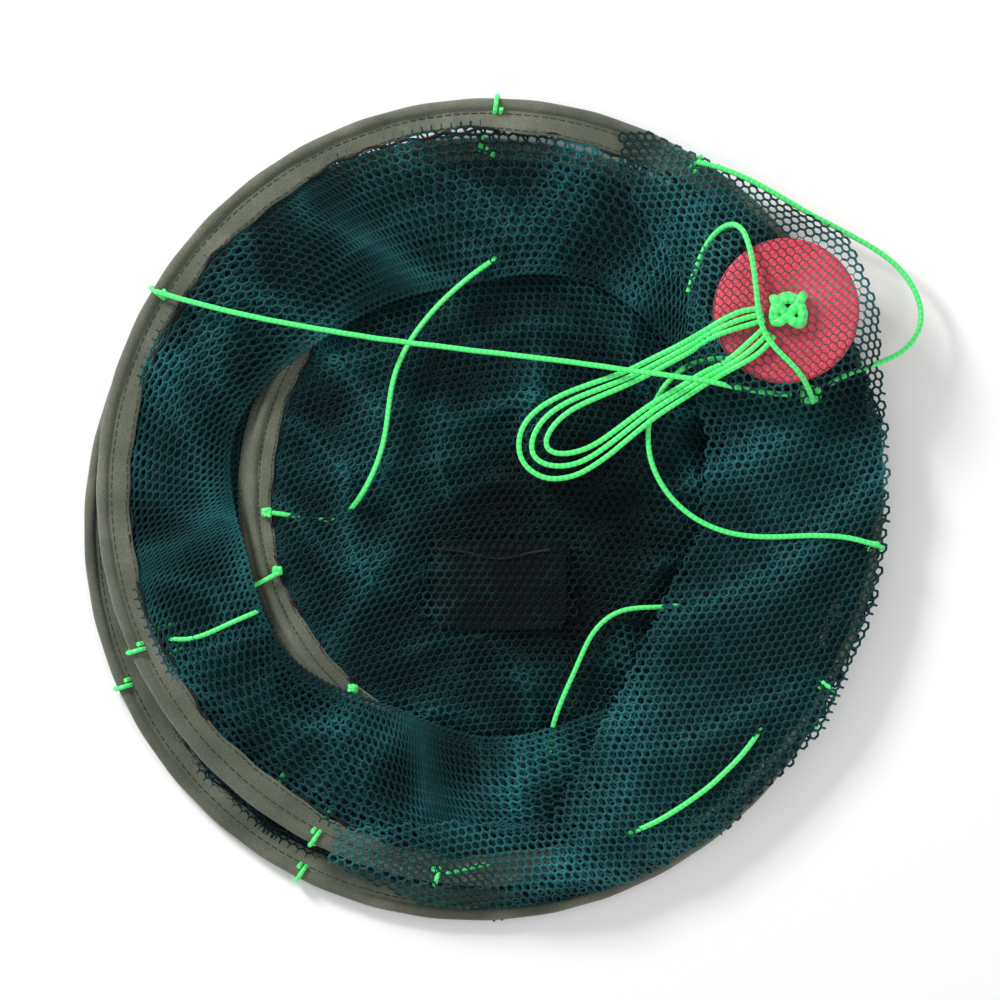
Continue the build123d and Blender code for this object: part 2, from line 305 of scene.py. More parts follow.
def mix(tree, factor, a, b, mode="MIX"):
    node = tree.nodes.new("ShaderNodeMix")
    node.data_type = "RGBA"
    node.blend_type = mode
    for socket, value in ((node.inputs["Factor"], factor), (node.inputs["A"], a), (node.inputs["B"], b)):
        if isinstance(value, bpy.types.NodeSocket):
            tree.links.new(value, socket)
        else:
            socket.default_value = value
    return node.outputs["Result"]


def bump(tree, shader, height, strength, distance):
    node = tree.nodes.new("ShaderNodeBump")
    node.inputs["Strength"].default_value = strength
    node.inputs["Distance"].default_value = distance
    tree.links.new(height, node.inputs["Height"])
    tree.links.new(node.outputs["Normal"], shader.inputs["Normal"])


def shade_of_middle(tree, darkest, reach):
    """Painted shade: a soft dark patch over the middle of the floor, where the net is bunched deepest."""
    where = tree.nodes.new("ShaderNodeTexCoord")
    away = tree.nodes.new("ShaderNodeVectorMath")
    away.operation = "DISTANCE"
    away.inputs[1].default_value = (FLOOR[0] + 0.12 * FLOOR_R, FLOOR[1] - 0.2 * FLOOR_R, FLOOR[2])
    tree.links.new(where.outputs["Object"], away.inputs[0])
    share = tree.nodes.new("ShaderNodeMapRange")
    share.interpolation_type = "SMOOTHSTEP"
    share.inputs["From Min"].default_value = 0.25 * reach
    share.inputs["From Max"].default_value = reach
    share.inputs["To Min"].default_value = darkest
    share.inputs["To Max"].default_value = 1.0
    tree.links.new(away.outputs["Value"], share.inputs["Value"])
    return share.outputs["Result"]


def net_material(name, dark, light, darkest=1.0, fold_shaded=False):
    material, tree, shader = node_material(name, 0.75)
    shader.inputs["Specular IOR Level"].default_value = 0.2
    blotches = texture(tree, "ShaderNodeTexNoise", 16, Detail=3.0)
    twist = texture(tree, "ShaderNodeTexNoise", 900, Detail=1.0)
    color = ramp(tree, blotches.outputs["Fac"], [(0.3, dark), (0.7, light)])
    fibres = ramp(tree, twist.outputs["Fac"], [(0.3, (0.6, 0.6, 0.6)), (0.7, (1.25, 1.25, 1.25))])
    color = mix(tree, 1.0, color, fibres, "MULTIPLY")
    # Painted shade and light from the folds: strands low in a fold are darkened, strands on a fold's
    # crest are lightened.
    if fold_shaded:
        fold_shade = tree.nodes.new("ShaderNodeAttribute")
        fold_shade.attribute_name = "fold_shade"
        fold_shade_tones = [(0.05, (0.22, 0.22, 0.24)), (0.4, (0.75, 0.75, 0.75)), (0.9, (1.55, 1.5, 1.5))]
        color = mix(tree, 1.0, color, ramp(tree, fold_shade.outputs["Fac"], fold_shade_tones), "MULTIPLY")
    # Painted shade over the middle of the floor net.
    if darkest < 1:
        color = mix(tree, 1.0, color, shade_of_middle(tree, darkest, 0.75 * FLOOR_R), "MULTIPLY")
    tree.links.new(color, shader.inputs["Base Color"])
    bump(tree, shader, twist.outputs["Fac"], 0.5, 0.3 * MM)
    return material


def tape_material():
    material, tree, shader = node_material("hoop_tape", 0.85, 0.25)
    weft = texture(tree, "ShaderNodeTexWave", 320, Distortion=1.2, bands_direction="DIAGONAL")
    warp = texture(tree, "ShaderNodeTexVoronoi", 900)
    dust = texture(tree, "ShaderNodeTexNoise", 22, Detail=6.0)
    color = ramp(
        tree,
        dust.outputs["Fac"],
        [(0.3, (0.05, 0.06, 0.04)), (0.55, (0.095, 0.105, 0.075)), (0.75, (0.155, 0.165, 0.125))],
    )
    weave = ramp(tree, warp.outputs["Distance"], [(0.1, (0.7, 0.7, 0.7)), (0.7, (1.15, 1.15, 1.15))])
    color = mix(tree, 1.0, color, weave, "MULTIPLY")
    tree.links.new(color, shader.inputs["Base Color"])
    both = mix(tree, 0.5, weft.outputs["Color"], warp.outputs["Distance"])
    bump(tree, shader, both, 0.6, 0.4 * MM)
    return material


def cord_material():
    material, tree, shader = node_material("braided_cord", 0.45, 0.2)
    braid = tree.nodes.new("ShaderNodeAttribute")
    braid.attribute_name = "braid"
    fuzz = texture(tree, "ShaderNodeTexNoise", 700, Detail=2.0)
    # Painted shade and light along the braid: darker where its strands dip, lighter on their crests.
    color = ramp(
        tree,
        braid.outputs["Fac"],
        [(0.0, (0.01, 0.32, 0.05)), (0.3, (0.04, 0.7, 0.13)), (1.0, (0.13, 0.92, 0.26))],
    )
    tree.links.new(color, shader.inputs["Base Color"])
    # Painted glow: the cord gives off its own colour as light, though it is no lamp.
    tree.links.new(color, shader.inputs["Emission Color"])
    shader.inputs["Emission Strength"].default_value = 0.12
    bump(tree, shader, fuzz.outputs["Fac"], 0.4, 0.2 * MM)
    return material


def foam_material():
    material, tree, shader = node_material("float_foam", 0.7, 0.1)
    cells = texture(tree, "ShaderNodeTexVoronoi", 700)
    wear = texture(tree, "ShaderNodeTexNoise", 30, Detail=5.0)
    color = ramp(tree, wear.outputs["Fac"], [(0.3, (0.7, 0.045, 0.085)), (0.7, (0.88, 0.095, 0.15))])
    # Painted shade in the foam's pores: darker towards each cell's middle.
    pore_shade = ramp(tree, cells.outputs["Distance"], [(0.0, (0.7, 0.7, 0.7)), (0.35, (1.05, 1.05, 1.05))])
    color = mix(tree, 1.0, color, pore_shade, "MULTIPLY")
    tree.links.new(color, shader.inputs["Base Color"])
    bump(tree, shader, cells.outputs["Distance"], 0.35, 0.4 * MM)
    return material


def metal_material(name, tone, roughness):
    material, tree, shader = node_material(name, roughness)
    drawn = texture(tree, "ShaderNodeTexNoise", 400, Detail=4.0)
    dark = tuple(0.75 * t for t in tone)
    tree.links.new(
        ramp(tree, drawn.outputs["Fac"], [(0.3, dark), (0.7, tone)]), shader.inputs["Base Color"]
    )
    shader.inputs["Metallic"].default_value = 1.0
    bump(tree, shader, drawn.outputs["Fac"], 0.2, 0.1 * MM)
    return material


TEAL = net_material("teal_net", (0.007, 0.06, 0.068), (0.02, 0.15, 0.155), fold_shaded=True)
TEAL_FLOOR = net_material(
    "teal_net_floor", (0.007, 0.056, 0.064), (0.02, 0.145, 0.15), darkest=0.16, fold_shaded=True
)
TEAL_TOP = net_material("teal_net_upper", (0.012, 0.095, 0.105), (0.034, 0.215, 0.22), fold_shaded=True)
# Sheets that stand for bunched net, in a near-black that is painted shade in the depth between its
# layers.
TEAL_BUNCHED_SHADE = net_material("teal_net_bunched_shade", (0.003, 0.014, 0.017), (0.006, 0.028, 0.033))
SELVAGE = net_material("black_selvage", (0.004, 0.006, 0.006), (0.012, 0.016, 0.016))
POUCH = net_material("pouch_cloth", (0.0015, 0.004, 0.005), (0.003, 0.007, 0.009))
THREAD = net_material("stitching", (0.03, 0.036, 0.022), (0.075, 0.08, 0.056))
TAPE = tape_material()
CORD = cord_material()
FOAM = foam_material()
WIRE = metal_material("spring_wire", (0.5, 0.5, 0.52), 0.35)
SLEEVE = metal_material("crimp_sleeve", (0.75, 0.75, 0.77), 0.3)


# ======== net panels ========
def over_pouch(x, y):
    """1 over the bait pouch, falling to 0 a little way outside it."""
    outside_x = np.maximum(np.maximum(POUCH_LOW[0] - x, x - POUCH_HIGH[0]), 0)
    outside_y = np.maximum(np.maximum(POUCH_LOW[1] - y, y - POUCH_HIGH[1]), 0)
    return 1 - smooth(np.hypot(outside_x, outside_y) / (22 * MM))


def lie_of_floor(x, y):
    """Height of the crumpled floor net."""
    r = np.hypot(x - FLOOR[0], y - FLOOR[1])
    inner = smooth((FLOOR_R - 15 * MM - r) / (40 * MM)) * (1 - 0.85 * over_pouch(x, y))
    return 2.2 * MM + inner * FLOOR_RELIEF * FLOOR_FOLDS(x, y) + (1 - inner) * 2.0 * MM


def turned_sheet(width, pitch, angle, bend):
    """A flat honeycomb round the origin, turned, with its rows softly bent."""
    flat, edges = honeycomb(width, width, pitch, wrap=False)
    flat = flat - flat.mean(axis=0)
    x = flat[:, 0] * math.cos(angle) - flat[:, 1] * math.sin(angle)
    y = flat[:, 0] * math.sin(angle) + flat[:, 1] * math.cos(angle)
    x = x + bend * np.sin(y / (70 * MM) + 1.0)
    y = y + bend * np.sin(x / (90 * MM) + 2.0)
    return np.stack([x, y], axis=1), edges


def clip(edges, keep):
    """The edges whose two ends are both kept."""
    good = keep[edges[:, 0]] & keep[edges[:, 1]]
    return edges[good]


def make_floor_net():
    """Two crumpled layers all over, and a third where the folds stand highest."""
    edge_r = FLOOR_R - FLOOR_NET_INSET
    layers = ((0.3, 0.0, -1), (1.15, 3.5 * MM, -1), (2.0, 6 * MM, 0.42))
    for layer, (angle, lift, least_fold) in enumerate(layers):
        flat, edges = turned_sheet(2.3 * edge_r, MESH_PITCH, angle, 21 * MM)
        x, y = flat[:, 0] + FLOOR[0], flat[:, 1] + FLOOR[1]
        r = np.hypot(flat[:, 0], flat[:, 1])
        folds = FLOOR_FOLDS(x, y)
        edges = clip(edges, (r < edge_r) & (folds > least_fold))
        z = lie_of_floor(x, y) + lift * smooth((edge_r - r) / (30 * MM))
        corners = np.stack([x, y, z], axis=1)
        ob, _ = strands(f"floor_net_{layer + 1}", corners, edges, TEAL_FLOOR, folds=folds)
        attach(ob, "base")
    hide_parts("floor_net")


def make_bunched_floor_shade():
    """The dark depth under the floor net's open layers: a sheet whose near-black colour is painted shade.
    """
    turns, rings = 96, 34
    angle = np.linspace(0, TAU, turns, endpoint=False)
    radius = np.linspace(0.3 * MM, FLOOR_R - FLOOR_NET_INSET, rings)
    x = FLOOR[0] + np.outer(radius, np.cos(angle))
    y = FLOOR[1] + np.outer(radius, np.sin(angle))
    points = np.stack([x, y, lie_of_floor(x, y) - 1.4 * MM], axis=2)
    bed = grid("floor_net_bunched_shade", points, TEAL_BUNCHED_SHADE, wrap_u=True)
    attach(bed, "base")


def ring_net(name, section, run, material, node, mean_r, share=smooth):
    """A wall net round the hoops. section(angle, t) gives the points, t going from body a to body b."""
    around = TAU * mean_r
    columns = round(around / MESH_PITCH)
    flat, edges = honeycomb(columns * MESH_PITCH, run, MESH_PITCH, wrap=True)
    angle = flat[:, 0] / (columns * MESH_PITCH) * TAU
    t = flat[:, 1] / flat[:, 1].max()
    corners = section(angle, t)
    ob, owner = strands(name, corners, edges, material, folds=WALL_FOLDS(corners[:, 0], corners[:, 1]))
    blend_by(ob, share(t[owner]))
    if node:
        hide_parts(node)
    return ob


def on_circle(centre, radius, angle):
    return centre[0] + radius * np.cos(angle), centre[1] + radius * np.sin(angle)


def lower_wall(angle, t):
    """From the floor hoop's flange out to the middle hoop's hem, gathered in soft pleats."""
    x0, y0 = on_circle(FLOOR, FLOOR_R + 7 * MM, angle)
    x1, y1 = on_circle(MIDDLE, LARGE_R - NET_AT_HEM, angle)
    s = t + 0.10 * np.sin(TAU * 2 * t) * (0.5 + 0.5 * np.sin(9 * angle + 1))
    x, y = x0 + (x1 - x0) * s, y0 + (y1 - y0) * s
    sag = np.sin(math.pi * t)
    z = 4.5 * MM + 2.5 * MM * t + sag * LOWER_WALL_RELIEF * WALL_FOLDS(x * 1.4, y * 1.4)
    return np.stack([x, y, z], axis=1)


def make_bunched_wall_shade(name, section, first, last, drop):
    """The gathered slack that lies behind a wall net: a dark crumpled sheet whose near-black colour is
    painted shade.
    """
    turns, rows = 220, 16
    around = np.linspace(0, TAU, turns, endpoint=False)
    angle, t = np.meshgrid(around, np.linspace(first, last, rows))
    points = section(angle.reshape(-1), t.reshape(-1))
    points[:, 2] -= drop
    ob = grid(name, points.reshape(rows, turns, 3), TEAL_BUNCHED_SHADE, wrap_u=True)
    blend_by(ob, smooth(t.reshape(-1)))


def near_angle(angle, degrees, width):
    """1 at a direction round the hoops, falling to 0 at width degrees from it."""
    away = np.abs((np.degrees(angle) - degrees + 180) % 360 - 180)
    return smooth(1 - away / width)


def upper_wall(angle, t, loose=1.0):
    """From the middle hoop's hem in to the fold and back out to the rim's hem."""
    fold_r = LARGE_R - FOLD_INSET + 7 * MM * np.sin(3 * angle + 0.6) + 4 * MM * np.sin(7 * angle)
    fold_r = fold_r - loose * (34 * near_angle(angle, 258, 62) + 26 * near_angle(angle, 118, 45)) * MM
    xm, ym = on_circle(MIDDLE, LARGE_R - NET_AT_HEM, angle)
    xf, yf = on_circle(FOLD, fold_r, angle)
    xr, yr = on_circle(RIM, LARGE_R - 13 * MM, angle)
    low = smooth(t * 2) * 0.35 + np.clip(t * 2, 0, 1) * 0.65
    high = smooth(t * 2 - 1) * 0.35 + np.clip(t * 2 - 1, 0, 1) * 0.65
    x = np.where(t < 0.5, xm + (xf - xm) * low, xf + (xr - xf) * high)
    y = np.where(t < 0.5, ym + (yf - ym) * low, yf + (yr - yf) * high)
    z = MIDDLE[2] + (RIM[2] - MIDDLE[2]) * t
    inside = np.sin(math.pi * t)
    relief = UPPER_WALL_RELIEF * (WALL_FOLDS(x, y) - 0.25) * np.where(t > 0.5, 1.3, 0.4)
    z = z + inside * relief
    return np.stack([x, y, z], axis=1)


def tight_upper_wall(angle, t):
    return upper_wall(angle, t, loose=0.0)


def slack_place(share):
    """Where the slack lies between the hoops, from just above the fold to the rim's hem."""
    return 0.52 + 0.45 * share


def upper_slack(angle, share):
    """The upper leaf's slack, lying over it with its meshes turned another way."""
    t = slack_place(share)
    points = upper_wall(angle + 0.12 * np.sin(5 * angle) + 0.25 * share, t)
    folds = EDGE_FOLDS(points[:, 0] * 0.6, points[:, 1] * 0.6)
    points[:, 2] += np.sin(math.pi * share) * (2 + 7 * folds) * MM
    return points


def throat_height(x, y):
    """The collar lies over the rim and the float."""
    r = np.hypot(x - RIM[0], y - RIM[1])
    z = RIM[2] + 5 * MM + THROAT_RELIEF * THROAT_FOLDS(x, y)
    outside = smooth((r - LARGE_R - 4 * MM) / (22 * MM))
    z = z * (1 - outside) + 9 * MM * outside
    to_float = np.hypot(x - FLOAT[0], y - FLOAT[1])
    tent = smooth((FLOAT_R + 34 * MM - to_float) / (30 * MM))
    return z * (1 - tent) + (FLOAT_TOP + 2.2 * MM) * tent


# The collar's outline as shares of the rim's radius, from the rim's centre.
THROAT_OUTLINE = (
    (-0.40, -0.86), (-0.1, -0.84), (0.15, -0.84), (0.386, -0.40), (0.544, -0.08), (0.55, 0.15),
    (0.50, 0.32), (0.50, 0.52), (0.36, 0.76), (0.32, 0.93), (0.41, 0.93), (0.70, 0.79), (0.92, 0.66),
    (1.0, 0.45), (1.025, 0.2),
    (1.03, -0.08), (1.0, -0.29), (0.87, -0.61), (0.61, -0.88), (0.29, -1.06), (0.0, -1.115),
    (-0.12, -1.095), (-0.30, -1.02), (-0.42, -0.96),
)

# Where the collar lies double, on the front and under the float, in the same shares.
DOUBLE_OUTLINE = (
    (0.54, -0.08), (0.38, -0.40), (0.15, -0.92), (-0.05, -1.11), (0.28, -1.05), (0.60, -0.87),
    (0.86, -0.60), (0.99, -0.28), (1.02, 0.0), (1.01, 0.2), (0.95, 0.36), (0.86, 0.54),
    (0.72, 0.68), (0.58, 0.80), (0.50, 0.72), (0.52, 0.5), (0.53, 0.3), (0.56, 0.15),
)


def inside_outline(x, y, outline):
    inside = np.zeros(len(x), bool)
    for (xa, ya), (xb, yb) in zip(outline, outline[1:] + outline[:1]):
        crosses = (ya > y) != (yb > y)
        at = xa + (y - ya) * (xb - xa) / (yb - ya if yb != ya else 1e-9)
        inside ^= crosses & (x < at)
    return inside


def rim_shares(outline):
    return [(RIM[0] + a * LARGE_R, RIM[1] + b * LARGE_R) for a, b in outline]


def under_float(x, y):
    """The collar's lower layer: as the upper one, but lying under the float."""
    z = throat_height(x, y) - 2.0 * MM
    to_float = np.hypot(x - FLOAT[0], y - FLOAT[1])
    near = smooth((FLOAT_R + 42 * MM - to_float) / (30 * MM))
    return z * (1 - near) + (RIM[2] + 5 * MM) * near


def follow_rim(ob):
    """The collar rides the rim."""
    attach(ob, "rim")
    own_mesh(ob)


def make_throat_net():
    layers = (
        ("throat_net_upper", 0.2, THROAT_OUTLINE, throat_height),
        ("throat_net_lower", 0.95, DOUBLE_OUTLINE, under_float),
    )
    for name, angle, outline, height in layers:
        flat, edges = turned_sheet(2.6 * LARGE_R, MESH_PITCH, angle, 15 * MM)
        x, y = flat[:, 0] + RIM[0], flat[:, 1] + RIM[1]
        edges = clip(edges, inside_outline(x, y, rim_shares(outline)))
        corners = np.stack([x, y, height(x, y)], axis=1)
        on_float = np.hypot(x - FLOAT[0], y - FLOAT[1])[edges[:, 0]] < FLOAT_R + 3 * MM
        thin = on_float & (height is throat_height)
        radius = np.where(thin, 0.42 * MM, STRAND_R)[:, None]
        ob, _ = strands(name, corners, edges, TEAL_TOP, radius, folds=THROAT_FOLDS(x, y))
        follow_rim(ob)
    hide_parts("throat_net")


def make_bunched_throat_shade():
    """The dark slack behind the collar where it lies double, a sheet whose near-black colour is painted
    shade; its free edge is 9 mm further in.
    """
    step = 6 * MM
    count = int(2.3 * LARGE_R / step)
    across = (np.arange(count) - count / 2) * step
    x, y = np.meshgrid(RIM[0] + across, RIM[1] + across)
    z = under_float(x, y) - 1.6 * MM
    bed = grid("throat_bunched_shade", np.stack([x, y, z], axis=2), TEAL_BUNCHED_SHADE)
    x, y = x.reshape(-1), y.reshape(-1)
    outline = rim_shares(DOUBLE_OUTLINE)
    drop_outside(bed, inside_outline(x, y, outline) & inside_outline(x - 9 * MM, y + 4 * MM, outline))
    follow_rim(bed)


def drop_outside(ob, keep):
    """Leave only the vertices that are kept, and the faces between them."""
    bm = bmesh.new()
    bm.from_mesh(ob.data)
    bm.verts.ensure_lookup_table()
    gone = [v for v in bm.verts if not keep[v.index]]
    bmesh.ops.delete(bm, geom=gone, context="VERTS")
    bm.to_mesh(ob.data)
    bm.free()


# ======== hoop covers ========
def cover_section(hem, flange):
    """Points round a cover's section: outwards, upwards, and how far each one follows the hem's waves."""
    half = HEM_HALF_THICK
    section = []
    for a in np.linspace(math.radians(168), math.radians(-168), 22):
        section.append((ROLL_R * math.cos(a), ROLL_R * math.sin(a), 0.0))
    if flange:
        section = [p for p in section if abs(p[1]) > half * 1.2 or p[0] < 0]
        upper_side = [(flange * 0.6, half, 0.3), (flange, half, 0.6)]
        out = upper_side + [(x, -z, share) for x, z, share in reversed(upper_side)]
        middle_at = sum(1 for p in section if p[1] > 0)
        section[middle_at:middle_at] = out
    inner = [(-hem * f, -half, f) for f in (0.3, 0.5, 0.7, 0.85, 1.0)]
    section += inner + [(x, half, f) for x, _, f in reversed(inner)]
    return section


def make_cover(name, centre, radius, body, node, hem, flange):
    """A sewn cloth tube: a roll round the wire, and a hem whose edge is wavy where the net pulls it."""
    turns = 540
    angle = np.linspace(0, TAU, turns, endpoint=False)
    rng = np.random.RandomState(len(name))
    phases = rng.uniform(0, TAU, 4)
    waves = enumerate(zip((7, 17, 31, 53), phases), 1)
    wave = sum(np.sin(k * angle + p) / n for n, (k, p) in waves) / 2
    rows = []
    for dx, dz, share in cover_section(hem, flange):
        reach = dx * (1 + TAPE_WAVE * share * wave * (1 if dx < 0 else 0.5))
        r = radius + reach
        lift = dz + share * TAPE_LIFT * wave
        lumps = 1 + 0.05 * np.sin(41 * angle + phases[0]) * (share == 0)
        r = radius + (r - radius) * lumps
        x, y = on_circle(centre, r, angle)
        rows.append(np.stack([x, y, centre[2] + lift * lumps], axis=1))
    ob = grid(name, np.array(rows), TAPE, wrap_u=True, wrap_v=True)
    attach(ob, body)
    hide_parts(node)
    make_stitches(name + "_stitches", centre, radius, body, hem, wave)
    make_selvage(name + "_selvage", centre, radius - hem, body)


def make_stitches(name, centre, radius, body, hem, wave):
    """Two rows of thread along the hem, one by the roll and one by the net."""
    corners, edges = [], []
    count = 270
    for share in (0.36, 0.9):
        for k in range(count):
            a = TAU * k / count
            w = wave[int(len(wave) * k / count)]
            for end in (0, 0.62):
                b = a + end * TAU / count
                r = radius - hem * share * (1 + TAPE_WAVE * share * w)
                z = centre[2] + HEM_HALF_THICK + 0.25 * MM + share * TAPE_LIFT * w
                corners.append((centre[0] + r * math.cos(b), centre[1] + r * math.sin(b), z))
            edges.append((len(corners) - 2, len(corners) - 1))
    ob, _ = strands(name, np.array(corners), np.array(edges), THREAD, 0.45 * MM)
    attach(ob, body)


def make_selvage(name, centre, radius, body):
    """The net's dark bound edge, which shows along the hem."""
    turns = 720
    angle = np.linspace(0, TAU, turns, endpoint=False)
    r = radius + 1.2 * MM * np.sin(60 * angle) + 1.5 * MM * np.sin(13 * angle + 1)
    z = centre[2] - 0.3 * MM + 0.8 * MM * np.sin(37 * angle)
    path = np.stack([*on_circle(centre, r, angle), z], axis=1)
    ob = tube(name, path, 1.3 * MM, SELVAGE, closed=True, sides=6)
    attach(ob, body)


# ======== cords ========
def tube(name, path, radius, material, closed=False, sides=CORD_SIDES, braid=0.0, lean=None):
    """A round tube along a path. With braid, its surface has the crossing strands of a braided cord."""
    ahead = np.roll(path, -1, axis=0) if closed else np.vstack([path[1:], path[-1:]])
    behind = np.roll(path, 1, axis=0) if closed else np.vstack([path[:1], path[:-1]])
    d = ahead - behind
    d /= np.linalg.norm(d, axis=1, keepdims=True)
    side = np.zeros_like(d)
    last = np.cross(d[0], (0.1, 0.2, 1.0))
    for i, direction in enumerate(d):
        last = last - direction * np.dot(last, direction)
        last = last / np.linalg.norm(last)
        side[i] = last
    up = np.cross(d, side)
    along = np.concatenate([[0], np.cumsum(np.linalg.norm(np.diff(path, axis=0), axis=1))])
    turn = np.linspace(0, TAU, sides, endpoint=False)
    phase = TAU * along / BRAID_LENGTH
    weave = np.sin(3 * turn[None, :] + phase[:, None]) * np.sin(3 * turn[None, :] - phase[:, None])
    r = radius * (1 + braid * weave)
    across = np.cos(turn)[None, :, None] * side[:, None, :]
    around = across + np.sin(turn)[None, :, None] * up[:, None, :]
    if lean is not None:
        # Slide every ring's points along the cord, so that it stays round when it's pulled this way.
        tilt = np.array(lean) - d * (d @ np.array(lean))[:, None]
        around = around - d[:, None, :] * np.einsum("ijk,ik->ij", around, tilt)[..., None]
    points = path[:, None, :] + r[..., None] * around
    ob = grid(name, points, material, wrap_u=True, wrap_v=closed)
    if not closed:
        close_ends(ob, len(path), sides)
    # The braid's relief at every vertex, which the cord material turns into painted shade in the dips and
    # painted light on the crests.
    if braid:
        add_values(ob, "braid", (0.5 + 0.5 * weave).reshape(-1))
    return ob


def close_ends(ob, rings, sides):
    bm = bmesh.new()
    bm.from_mesh(ob.data)
    bm.verts.ensure_lookup_table()
    bm.faces.new([bm.verts[i] for i in range(sides)])
    bm.faces.new([bm.verts[(rings - 1) * sides + i] for i in reversed(range(sides))])
    bmesh.ops.recalc_face_normals(bm, faces=bm.faces)
    bm.to_mesh(ob.data)
    bm.free()


def smooth_path(points, step=CORD_STEP):
    """A Catmull-Rom line through the points, at even steps."""
    p = np.vstack([2 * points[0] - points[1], points, 2 * points[-1] - points[-2]])
    fine = []
    for i in range(1, len(p) - 2):
        t = np.linspace(0, 1, 24, endpoint=False)[:, None]
        a, b, c, d = p[i - 1], p[i], p[i + 1], p[i + 2]
        bend = (2 * a - 5 * b + 4 * c - d) * t**2 + (3 * b - a - 3 * c + d) * t**3
        fine.append(0.5 * (2 * b + (c - a) * t + bend))
    fine = np.vstack(fine + [points[-1:]])
    along = np.concatenate([[0], np.cumsum(np.linalg.norm(np.diff(fine, axis=0), axis=1))])
    even = np.linspace(0, along[-1], max(4, int(along[-1] / step)))
    return np.stack([np.interp(even, along, fine[:, k]) for k in range(3)], axis=1)


def separate_parts(bm):
    """The vertex numbers of each part of a mesh that isn't joined to the rest."""
    groups, seen = [], set()
    for v in bm.verts:
        if v.index in seen:
            continue
        stack, group = [v], []
        seen.add(v.index)
        while stack:
            w = stack.pop()
            group.append(w.index)
            for e in w.link_edges:
                o = e.other_vert(w)
                if o.index not in seen:
                    seen.add(o.index)
                    stack.append(o)
        groups.append(group)
    return groups


def distances(bm, group, starts):
    """How far each vertex of a group is from the starts, along the mesh's edges."""
    far = {i: math.inf for i in group}
    heap = [(0.0, s) for s in starts]
    for s in starts:
        far[s] = 0.0
    while heap:
        d, i = heapq.heappop(heap)
        if d > far[i]:
            continue
        for e in bm.verts[i].link_edges:
            j = e.other_vert(bm.verts[i]).index
            n = d + e.calc_length()
            if n < far[j]:
                far[j] = n
                heapq.heappush(heap, (n, j))
    return far


def centre_line(node):
    """The middle line of each of a node's cords: walk its mesh from one end and average each stretch."""
    bm = bmesh.new()
    bm.from_mesh(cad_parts[node].data)
    bmesh.ops.remove_doubles(bm, verts=bm.verts, dist=1e-6)
    bm.verts.ensure_lookup_table()
    lines = []
    for group in separate_parts(bm):
        first = distances(bm, group, [group[0]])
        end = max(first, key=first.get)
        from_end = distances(bm, group, [end])
        far = distances(bm, group, [i for i in group if from_end[i] < END_REACH])
        bins = {}
        for i in group:
            bins.setdefault(int(far[i] / STRETCH), []).append(np.array(bm.verts[i].co))
        lines.append(np.array([np.mean(bins[k], axis=0) for k in sorted(bins)]))
    bm.free()
    return lines


def settle(line, rounds=2):
    for _ in range(rounds):
        line[1:-1] = 0.25 * line[:-2] + 0.5 * line[1:-1] + 0.25 * line[2:]
    return line


def from_end_near(line, place):
    near_start = np.linalg.norm(line[0][:2] - place[:2]) < np.linalg.norm(line[-1][:2] - place[:2])
    return line if near_start else line[::-1].copy()


def cord_piece(name, line, radius, lean=None):
    path = smooth_path(settle(line))
    ob = tube(name, path, radius, CORD, braid=BRAID_RELIEF, lean=lean)
    share = np.repeat(np.linspace(0, 1, len(path)), CORD_SIDES)
    return ob, share


def under_the_net(line, centre):
    """How far the last bridle leg dips under the collar; it shows only on the front right."""
    angle = np.degrees(hoop_angle(centre, line))
    shown = smooth((angle + 72) / 8) * (1 - smooth((angle + 46) / 8))
    return (1 - shown) * 9 * MM - shown * 4 * MM


def make_bridle_cord(i, knot):
    line = from_end_near(centre_line(f"bridle_cord_{i}")[0], knot)[::-1].copy()
    if i == 4:
        line[:, 2] -= under_the_net(line, RIM)
    ob, share = cord_piece(f"bridle_cord_{i}_braid", line, BRIDLE_R, UPWARDS)
    blend_by(ob, smooth(share))
    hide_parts(f"bridle_cord_{i}")


def make_upper_stay(i):
    """The second stay lies over the folded net, and the others under it."""
    line = centre_line(f"upper_stay_{i}")[0]
    line = line if line[0][2] < line[-1][2] else line[::-1].copy()
    if i != 2:
        line[:, 2] -= 13 * MM * smooth((line[:, 2] - MIDDLE[2]) / (12 * MM))
    ob, share = cord_piece(f"upper_stay_{i}_braid", line, STAY_R, UPWARDS)
    blend_by(ob, smooth(share))
    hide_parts(f"upper_stay_{i}")


def make_lower_stay(i):
    """The first and fourth stays have slack that lies over the crumpled floor net."""
    line = centre_line(f"lower_stay_{i}")[0]
    inner_first = np.hypot(*(line[0][:2] - FLOOR[:2])) < np.hypot(*(line[-1][:2] - FLOOR[:2]))
    line = line if inner_first else line[::-1].copy()
    path_r = np.hypot(line[:, 0] - FLOOR[0], line[:, 1] - FLOOR[1])
    over_net = smooth((FLOOR_R - 20 * MM - path_r) / (20 * MM))
    step = np.linspace(0, 1, len(line))
    if i == 1:
        over_net = over_net * smooth((step - 0.16) / 0.06)
        line[:, 2] -= 4.5 * MM * smooth((step - 0.02) / 0.03) * (1 - smooth((step - 0.16) / 0.05))
    line[:, 2] += over_net * (17 if i == 1 else 13.5) * MM
    ob, share = cord_piece(f"lower_stay_{i}_braid", line, STAY_R, UPWARDS)
    start = 0.72 if i in (1, 4) else 0.1
    blend_by(ob, smooth((share - start) / (1 - start)))
    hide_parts(f"lower_stay_{i}")


def make_cords():
    knot = centre_of("gather_knot")
    for i in range(1, 5):
        make_bridle_cord(i, knot)
        make_upper_stay(i)
        make_lower_stay(i)


def make_haul_line():
    lead, _ = cord_piece("haul_line_braid", centre_line("haul_line")[0], BRIDLE_R)
    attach(lead, "haul")
    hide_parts("haul_line")
    for k, line in enumerate(centre_line("haul_line_hank")):
        loop, _ = cord_piece(f"haul_line_hank_{k + 1}", line, BRIDLE_R)
        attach(loop, "haul")
    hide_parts("haul_line_hank")


